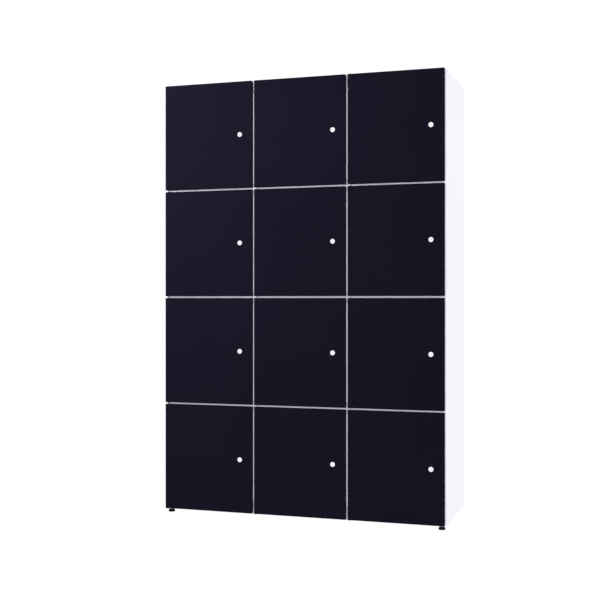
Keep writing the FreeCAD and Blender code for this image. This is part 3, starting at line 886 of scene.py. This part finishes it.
# ---- Levelling feet --------------------------------------------------------------------------
def pad_template():
    """A moulded pad with a gripping rim and a domed top, standing on z = 0 about its axis."""
    rim, crown, top = FOOT_RIM, FOOT_CROWN, FOOT_CROWN_TOP
    profile = [(0, 0.3 * MM), (rim - 3.2 * MM, 0.3 * MM), (rim - 2.8 * MM, 0), (rim - 0.6 * MM, 0),
               (rim, 0.6 * MM), (rim, FOOT_RIM_TOP),
               (rim - 0.3 * MM, 7.0 * MM), (rim - 1.1 * MM, 8.3 * MM), (rim - 2.2 * MM, 9.2 * MM),
               (rim - 3.4 * MM, 9.9 * MM), (crown + 0.5 * MM, top - 0.4 * MM), (crown, top),
               (crown - 0.8 * MM, top - 0.4 * MM), (0, top - 0.4 * MM)]
    steps = 4 * FOOT_RIBS
    bm = fresh()
    add_lathe(bm, profile, ORIGIN, UPWARD, steps)
    for vert in bm.verts:
        radius = math.hypot(vert.co.x, vert.co.y)
        turn = math.atan2(vert.co.y, vert.co.x) / (2 * math.pi)
        on_rim = radius > rim - 0.1 * MM and 0.5 * MM < vert.co.z < FOOT_RIM_TOP + 0.1 * MM
        if on_rim and round(turn * steps) % 4 in (0, 1):
            vert.co.x *= 1 - FOOT_RIB_DEPTH / radius
            vert.co.y *= 1 - FOOT_RIB_DEPTH / radius
    return mesh_of(bm, "pad", [NYLON], 28)


def foot_hex_template():
    """The spanner hexagon between the pad and the thread, chamfered at both ends."""
    corner = FOOT_HEX_ACROSS_FLATS / math.sqrt(3)
    hexagon = []
    for k in range(6):
        angle = math.radians(60 * k)
        hexagon.append((corner * math.cos(angle), corner * math.sin(angle), FOOT_HEX_LOW))
    bm = fresh()
    add_prism(bm, hexagon, Vector((0, 0, FOOT_HEX_HIGH - FOOT_HEX_LOW)))
    bevel_sharp(bm, 0.35 * MM, 2, 40)
    return mesh_of(bm, "foot_hex", [HEX_STEEL])


def stem_template():
    """The threaded stem above the hexagon."""
    root = STEM_RADIUS * 0.86
    height = FOOT_HEX_HIGH
    profile = [(0, height), (root, height)]
    while height < STEM_TOP - 1.8 * MM:
        profile += [(STEM_RADIUS, height + 0.6 * MM), (root, height + 1.2 * MM)]
        height += 1.2 * MM
    profile += [(STEM_RADIUS * 0.8, STEM_TOP), (0, STEM_TOP)]
    bm = fresh()
    add_lathe(bm, profile, ORIGIN, UPWARD, 32)
    return mesh_of(bm, "stem", [STEEL_TURNED], 30)


# ---- Placing the doors and locks -------------------------------------------------------------
leaf, band = door_templates()
bush = bush_template()
bush_down = bush.copy()
bush_down.transform(Matrix.Rotation(math.pi, 4, "X"))
barrel = barrel_template()
nut = nut_template()
plug = plug_template()
tenon = tenon_template()
cam = cam_template()
cam_screw = cam_screw_template()

for door in DOORS:
    low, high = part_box(door + "_panel")
    pin = JOINT_AT[door + "_hinge"]
    lock = JOINT_AT[door + "_lock_turn"]
    at_front = Vector((lock.x, door_front, lock.z))
    place(door + "_leaf", leaf, low, door, [door + "_panel"])
    place(door + "_edge_band", band, low, door)
    place(door + "_bush_low", bush, (pin.x, pin.y, low.z), door)
    place(door + "_bush_high", bush_down, (pin.x, pin.y, high.z), door)
    place(door + "_lock_barrel", barrel, at_front, door, [door + "_fittings"])
    place(door + "_lock_nut", nut, (lock.x, door_back, lock.z), door)
    place(door + "_key_plug", plug, at_front, door + "_lock", [door + "_lock_cam"])
    place(door + "_cam_tenon", tenon, at_front, door + "_lock")
    place(door + "_cam", cam, (lock.x, cam_front, lock.z), door + "_lock")
    place(door + "_cam_screw", cam_screw, (lock.x, cam_back, lock.z), door + "_lock")

# ---- Placing the hinge brackets --------------------------------------------------------------
screw_places = []
bracket_screw = countersunk_template(BRACKET_SCREW)
pin_reach = row_gap / 2 + PIN_IN_DOOR
for column, letter in enumerate(COLUMNS):
    plate_x = upright_middle(column)
    axis = JOINT_AT["door_%s1_hinge" % letter]
    offset = axis.x - plate_x
    for line in range(ROWS + 1):
        height = row_line(line)
        if line == 0:
            sizes = (-END_PLATE, 0, -TONGUE, [-drop for drop in END_SCREWS])
            ends = (-pin_reach, 0)
        elif line == ROWS:
            sizes = (0, END_PLATE, 0, list(END_SCREWS))
            ends = (0, pin_reach)
        else:
            sizes = (-MIDDLE_PLATE / 2, MIDDLE_PLATE / 2, -TONGUE / 2, [-MIDDLE_SCREW, MIDDLE_SCREW])
            ends = (-pin_reach, pin_reach)
        name = "bracket_%s%d" % (letter, line)
        bracket = bracket_template(offset, *sizes)
        replaced = ["pivot_brackets"] if line == 0 and column == 0 else []
        place(name, bracket, (plate_x, carcass_front, height), "carcass", replaced)
        place(name + "_pin", pin_template(*ends), (axis.x, axis.y, height), "carcass")
        screw_places += [Vector((plate_x, carcass_front, height + rise)) for rise in sizes[3]]
place_group("bracket_screws", bracket_screw, screw_places, "carcass", ["fasteners"])

# ---- Placing the keepers and their screws ----------------------------------------------------
keeper_screw = countersunk_template(KEEPER_SCREW_LENGTH)
keeper_screws = []
aim_right = Matrix.Rotation(-math.pi / 2, 4, "Z")
for column, letter in enumerate(COLUMNS):
    face_x = upright_middle(column + 1) - board / 2
    reach = face_x - JOINT_AT["door_%s1_lock_turn" % letter].x - KEEPER_TO_AXIS
    keeper = keeper_template(reach)
    for row in range(ROWS):
        lock_z = JOINT_AT["door_%s%d_lock_turn" % (letter, row + 1)].z
        replaced = ["lock_keepers"] if row == 0 and column == 0 else []
        name = "keeper_%s%d" % (letter, row + 1)
        place(name, keeper, (face_x, 0, lock_z), "carcass", replaced)
        for side in (-1, 1):
            head = Vector((face_x - KEEPER_SHEET, keeper_screw_y, lock_z + side * KEEPER_SCREW))
            keeper_screws.append(Matrix.Translation(head) @ aim_right)
place_group("keeper_screws", keeper_screw, keeper_screws, "carcass")

# ---- Placing the board connectors ------------------------------------------------------------
discs = []
bolts = []


def connect(end, outward, disc_side):
    """Disc and bolt at a board's end: the bolt points along outward, the disc looks to disc_side."""
    outward, disc_side = Vector(outward), Vector(disc_side)
    centre = end - outward * DISC_INSET
    across = disc_side.cross(outward)
    disc_turn = Matrix((outward, across, -disc_side)).transposed().to_4x4()
    bolt_turn = Matrix((outward, disc_side, outward.cross(disc_side))).transposed().to_4x4()
    discs.append(Matrix.Translation(centre + disc_side * (board / 2)) @ disc_turn)
    bolts.append(Matrix.Translation(centre) @ bolt_turn)


for y in (carcass_front + CONNECTOR_INSET, inner_back - CONNECTOR_INSET):
    for line in range(len(UPRIGHTS)):
        x = upright_middle(line)
        disc_side = (-1, 0, 0) if line == len(UPRIGHTS) - 1 else (1, 0, 0)
        connect(Vector((x, y, inner_top)), (0, 0, 1), disc_side)
        connect(Vector((x, y, inner_bottom)), (0, 0, -1), disc_side)
    for column, letter in enumerate(COLUMNS):
        for line in range(1, ROWS):
            shelf_low, shelf_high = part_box("shelf_%s_%s" % (letter, LEVELS[line - 1]))
            connect(Vector((shelf_low.x, y, row_line(line))), (-1, 0, 0), (0, 0, -1))
            connect(Vector((shelf_high.x, y, row_line(line))), (1, 0, 0), (0, 0, -1))
place_group("connector_discs", disc_template(), discs, "carcass")
place_group("connector_bolts", bolt_template(), bolts, "carcass")

# ---- Placing the buffers, inserts and feet ---------------------------------------------------
buffer_places = []
for door in DOORS:
    low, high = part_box(door + "_panel")
    for z in (low.z + BUFFER_END, high.z - BUFFER_END):
        buffer_places.append(Vector((high.x - BUFFER_SIDE, carcass_front, z)))
place_group("door_buffer_dots", buffer_template(), buffer_places, "carcass",
            ["door_buffers"])

pad = pad_template()
foot_hex = foot_hex_template()
stem = stem_template()
insert_places = []
for foot in FEET:
    low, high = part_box(foot)
    middle = Vector(((low.x + high.x) / 2, (low.y + high.y) / 2, 0))
    place(foot + "_pad", pad, middle, foot, [foot])
    place(foot + "_hexagon", foot_hex, middle, foot)
    place(foot + "_stem", stem, middle, foot)
    insert_places.append(middle + Vector((0, 0, carcass_bottom)))
place_group("foot_inserts", insert_template(), insert_places, "carcass")

# ---- Finishes of the carcass boards, whose CAD shapes stay -----------------------------------
white_boards = list(UPRIGHTS) + ["top_panel", "base_panel"]
white_boards += ["shelf_%s_%s" % (letter, level) for letter in COLUMNS for level in LEVELS]
for node in white_boards:
    frame["nodes"][node].data.materials.clear()
    frame["nodes"][node].data.materials.append(MELAMINE)
frame["nodes"]["back_panel"].data.materials.clear()
frame["nodes"]["back_panel"].data.materials.append(BACK_WHITE)


# ---- Stage: floor, world, lights and camera --------------------------------------------------
def make_floor():
    n = Nodes("studio_floor")
    cloud = n.noise(n.place, 0.8, 2.0)
    n.set(Base_Color=n.blend(cloud, rgb(0.12, 0.12, 0.12), rgb(0.14, 0.14, 0.14)), Roughness=0.9,
          Specular_IOR_Level=0.0, Emission_Color=rgb(1.0, 1.0, 1.0), Emission_Strength=0.9)
    bm = bmesh.new()
    bmesh.ops.create_grid(bm, x_segments=8, y_segments=8, size=30.0)
    mesh = bpy.data.meshes.new("studio_floor")
    bm.to_mesh(mesh)
    bm.free()
    mesh.materials.append(n.material)
    floor = bpy.data.objects.new("studio_floor", mesh)
    bpy.context.scene.collection.objects.link(floor)


def soft_light(name, place_at, aim_at, width, height, power, colour=(1, 1, 1)):
    light = bpy.data.lights.new(name, "AREA")
    light.shape = "RECTANGLE"
    light.size = width
    light.size_y = height
    light.energy = power
    light.color = colour
    lamp = bpy.data.objects.new(name, light)
    lamp.location = place_at
    lamp.rotation_euler = (Vector(aim_at) - Vector(place_at)).to_track_quat("-Z", "Y").to_euler()
    lamp.visible_camera = False
    lamp.visible_glossy = False
    bpy.context.scene.collection.objects.link(lamp)


make_floor()
world = bpy.data.worlds.new("studio")
world.use_nodes = True
world.node_tree.nodes["Background"].inputs["Color"].default_value = (1.0, 1.0, 1.0, 1.0)
world.node_tree.nodes["Background"].inputs["Strength"].default_value = 1.04
bpy.context.scene.world = world
bpy.context.scene.view_settings.view_transform = "Standard"

soft_light("key_upper_left", (-0.62, -2.5, 2.1), (-3.5, 0.0, 2.85), 0.8, 0.8, 140.0)
soft_light("front", (0.2, -4.2, 0.85), (0.0, 0.0, 0.9), 1.5, 1.0, 50.0)
soft_light("side_right", (3.2, 0.6, 1.5), (0.6, 0.0, 0.9), 2.0, 2.2, 3.0, (0.96, 0.98, 1.0))

YAW = math.radians(17.689)
camera_data = bpy.data.cameras.new("camera")
camera_data.sensor_width = 36.0
camera_data.lens = 61.98
camera_data.clip_end = 100.0
camera_data.shift_y = -0.0005
camera = bpy.data.objects.new("camera", camera_data)
camera.location = (1.2827, door_front - 4.0069, door_low.z - 3 * row_pitch + 0.8846)
camera.rotation_euler = (math.pi / 2, 0, YAW)
bpy.context.scene.collection.objects.link(camera)
bpy.context.scene.camera = camera
